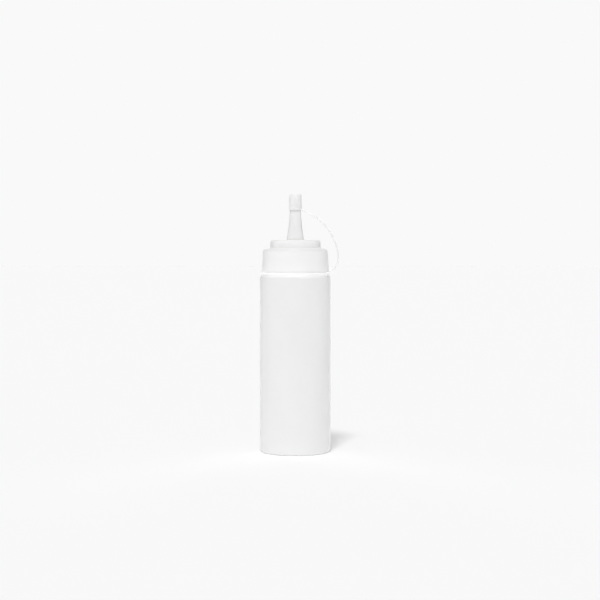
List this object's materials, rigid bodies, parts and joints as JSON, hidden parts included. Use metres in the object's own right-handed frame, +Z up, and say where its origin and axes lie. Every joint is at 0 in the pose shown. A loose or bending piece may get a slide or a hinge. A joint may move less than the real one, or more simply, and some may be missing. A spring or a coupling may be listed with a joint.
{
  "type": "squeeze bottle",
  "caption": "Empty milky squeeze bottle with a straight round body and a screw cap whose tapered nozzle has a tip cover on a moulded strap.",
  "frame": {"origin": "centre of the base, on the ground that the bottle stands on", "axes": "+Z up along the bottle's axis, +X towards the side where the cap's strap bows out"},
  "size_m": [0.0582, 0.052, 0.1891],
  "materials": {
    "bottle_body": "milky translucent low-density polyethylene, satin",
    "cap_moulding": "milky translucent low-density polyethylene, satin"
  },
  "bodies": {
    "root": {"bottle": "bottle_body", "screw_cap": "cap_moulding"}
  },
  "joints": []
}
